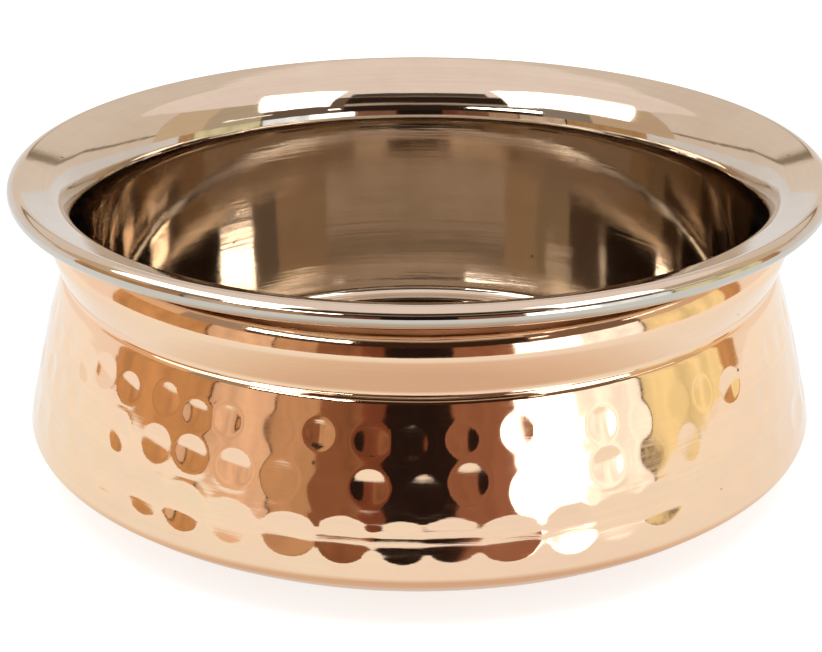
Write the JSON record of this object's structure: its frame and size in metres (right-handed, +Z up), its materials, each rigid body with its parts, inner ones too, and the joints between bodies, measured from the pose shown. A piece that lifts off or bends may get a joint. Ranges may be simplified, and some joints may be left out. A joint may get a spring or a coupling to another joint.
{
  "type": "serving bowl",
  "caption": "Round two-layer serving bowl: smooth polished steel liner with a wide rolled lip, in a waisted shell of hammered copper with a flat base.",
  "frame": {"origin": "centre of the flat base, on the surface that the bowl stands on", "axes": "+Z up along the bowl's axis of revolution; X and Y are any two directions across it"},
  "size_m": [0.16, 0.16, 0.0584],
  "materials": {
    "hammered_copper": "polished copper, hand hammered with shallow round dishes",
    "polished_steel": "mirror-polished stainless steel with fine concentric polishing lines"
  },
  "bodies": {
    "root": {"copper_shell": "hammered_copper", "steel_liner": "polished_steel"}
  },
  "joints": []
}
